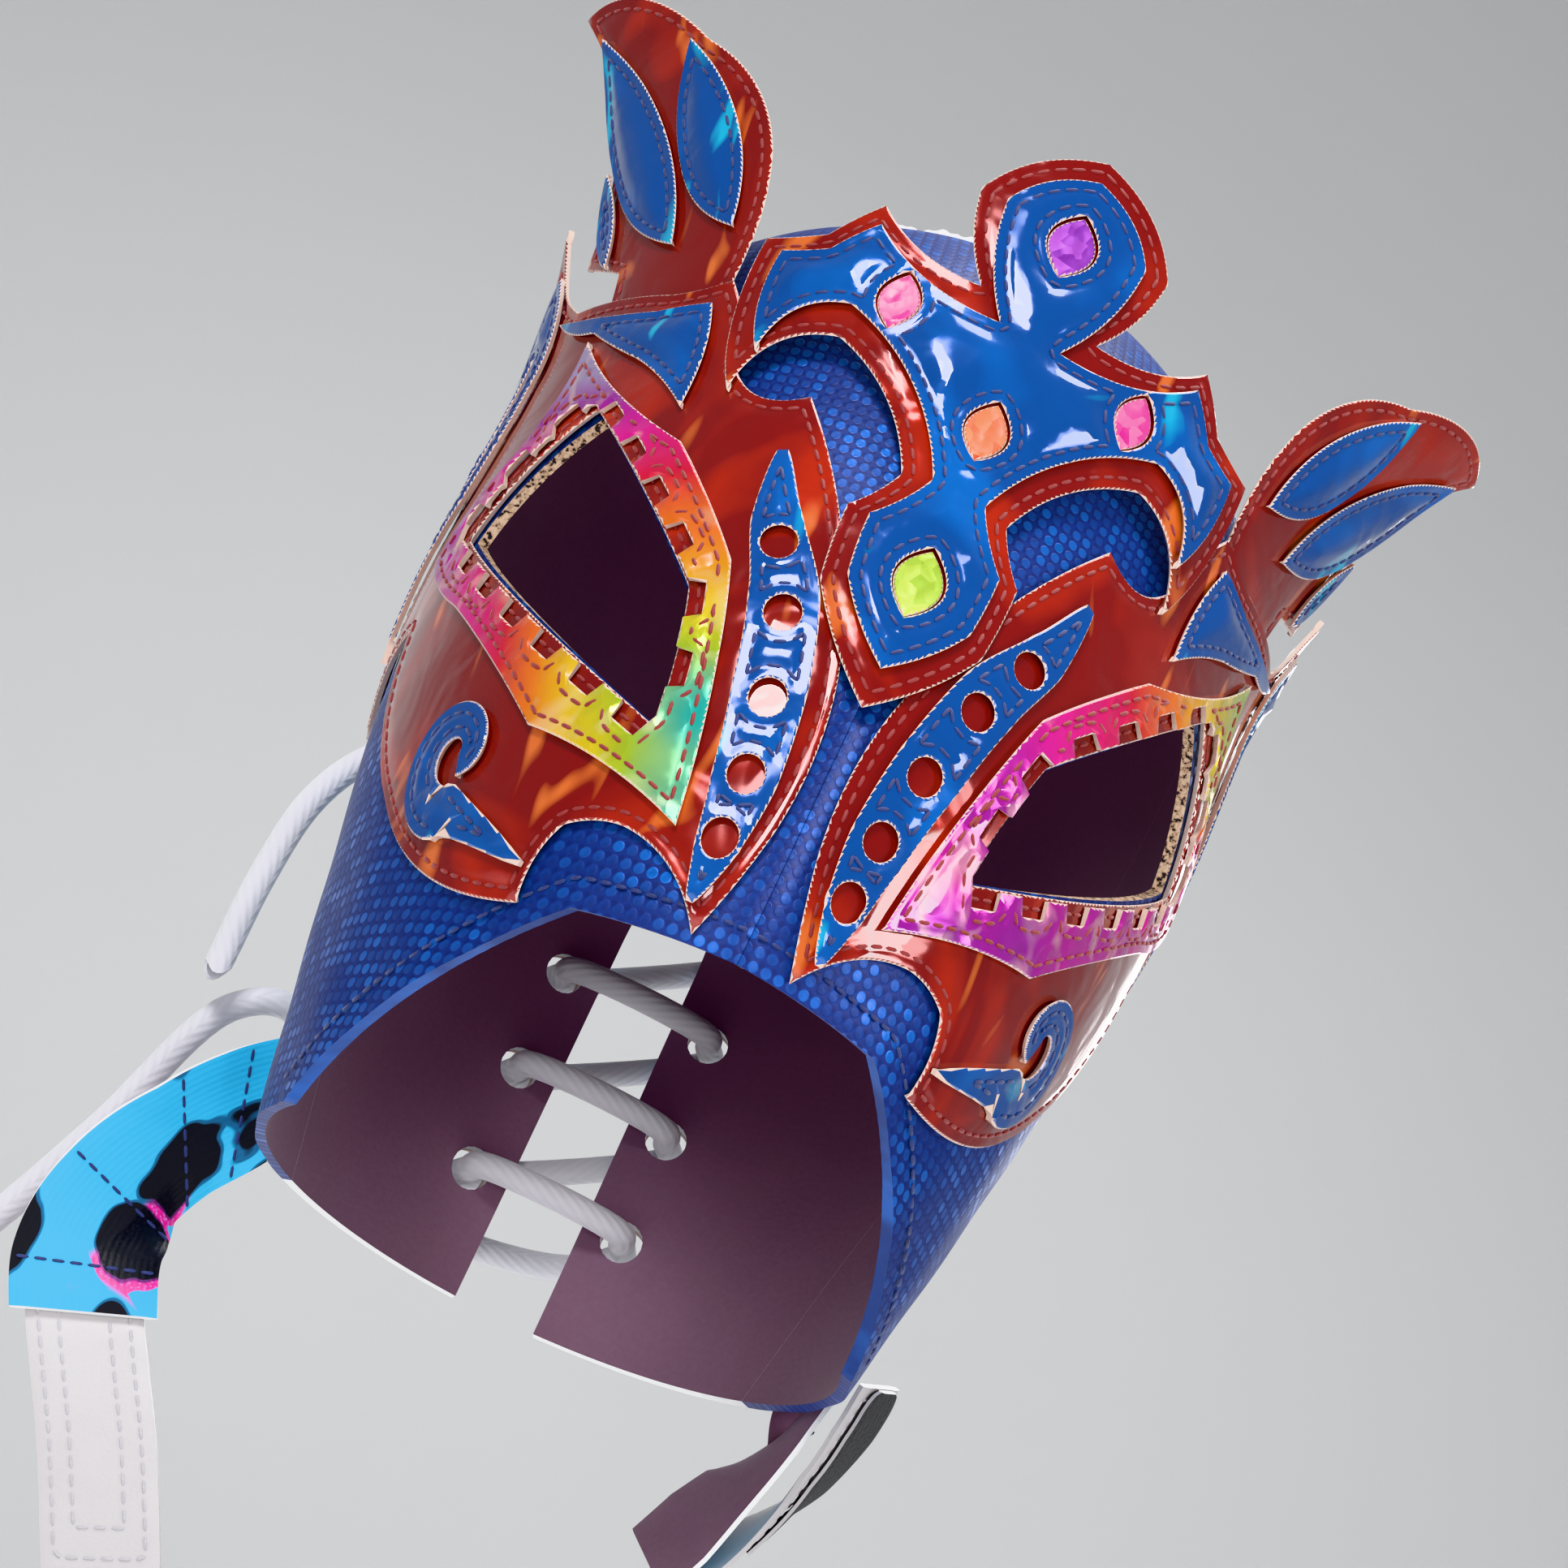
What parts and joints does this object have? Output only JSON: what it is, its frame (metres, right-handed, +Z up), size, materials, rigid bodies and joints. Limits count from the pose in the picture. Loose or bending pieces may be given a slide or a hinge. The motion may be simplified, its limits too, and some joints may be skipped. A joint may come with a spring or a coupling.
{
  "type": "wrestling mask",
  "caption": "Lace-up wrestling mask of stretch cloth with glossy stitched plates, horns and a crest, held open as a head fills it.",
  "frame": {"origin": "the point inside the hood where the crown of the wearer's head touches it", "axes": "the face looks along -Y, +Z is up along the head and +X is the side on the right as seen from the front"},
  "size_m": [0.2, 0.2108, 0.2976],
  "materials": {
    "blue_cloth": "satin stretch cloth with small metallic dots",
    "printed_cloth": "matt printed cloth",
    "white_vinyl": "satin",
    "lace_cloth": "matt",
    "raw_edge": "matt foam-backed cut edge",
    "red_vinyl": "gloss",
    "blue_vinyl": "gloss",
    "rainbow_foil": "gloss, rainbow",
    "window_foil": "satin foil",
    "clear_foil": "gloss, iridescent",
    "hook_tape": "hook tape"
  },
  "bodies": {
    "root": {"hood_front_left": "blue_cloth", "hood_front_right": "blue_cloth", "hood_back_left": "printed_cloth", "hood_back_right": "printed_cloth", "eyelet_facing_left": "white_vinyl", "eyelet_facing_right": "white_vinyl", "crown_welt": "raw_edge", "eye_plate_left": "red_vinyl", "eye_plate_right": "red_vinyl", "eye_band_left": "rainbow_foil", "eye_band_right": "rainbow_foil", "nose_strip_left": "blue_vinyl", "nose_strip_right": "blue_vinyl", "cheek_volute_left": "blue_vinyl", "cheek_volute_right": "blue_vinyl", "temple_leaf_left": "blue_vinyl", "temple_leaf_right": "blue_vinyl", "brow_flame_left": "blue_vinyl", "brow_flame_right": "blue_vinyl", "horn_left": "red_vinyl", "horn_right": "red_vinyl", "horn_leaf_1_left": "blue_vinyl", "horn_leaf_1_right": "blue_vinyl", "horn_leaf_2_left": "blue_vinyl", "horn_leaf_2_right": "blue_vinyl", "horn_leaf_3_left": "blue_vinyl", "horn_leaf_3_right": "blue_vinyl", "crest_base": "red_vinyl", "crest_overlay": "blue_vinyl", "crest_window_top": "window_foil", "crest_window_upper_left": "window_foil", "crest_window_upper_right": "window_foil", "crest_window_middle": "window_foil", "crest_window_lower": "window_foil", "side_strip_left": "clear_foil", "side_strip_right": "clear_foil", "strap_left": "printed_cloth", "strap_right": "printed_cloth", "tab_left": "white_vinyl", "tab_right": "white_vinyl", "hook_strip_right": "hook_tape", "lacing": "lace_cloth", "lace_end_upper": "lace_cloth", "lace_end_lower": "lace_cloth"}
  },
  "joints": []
}
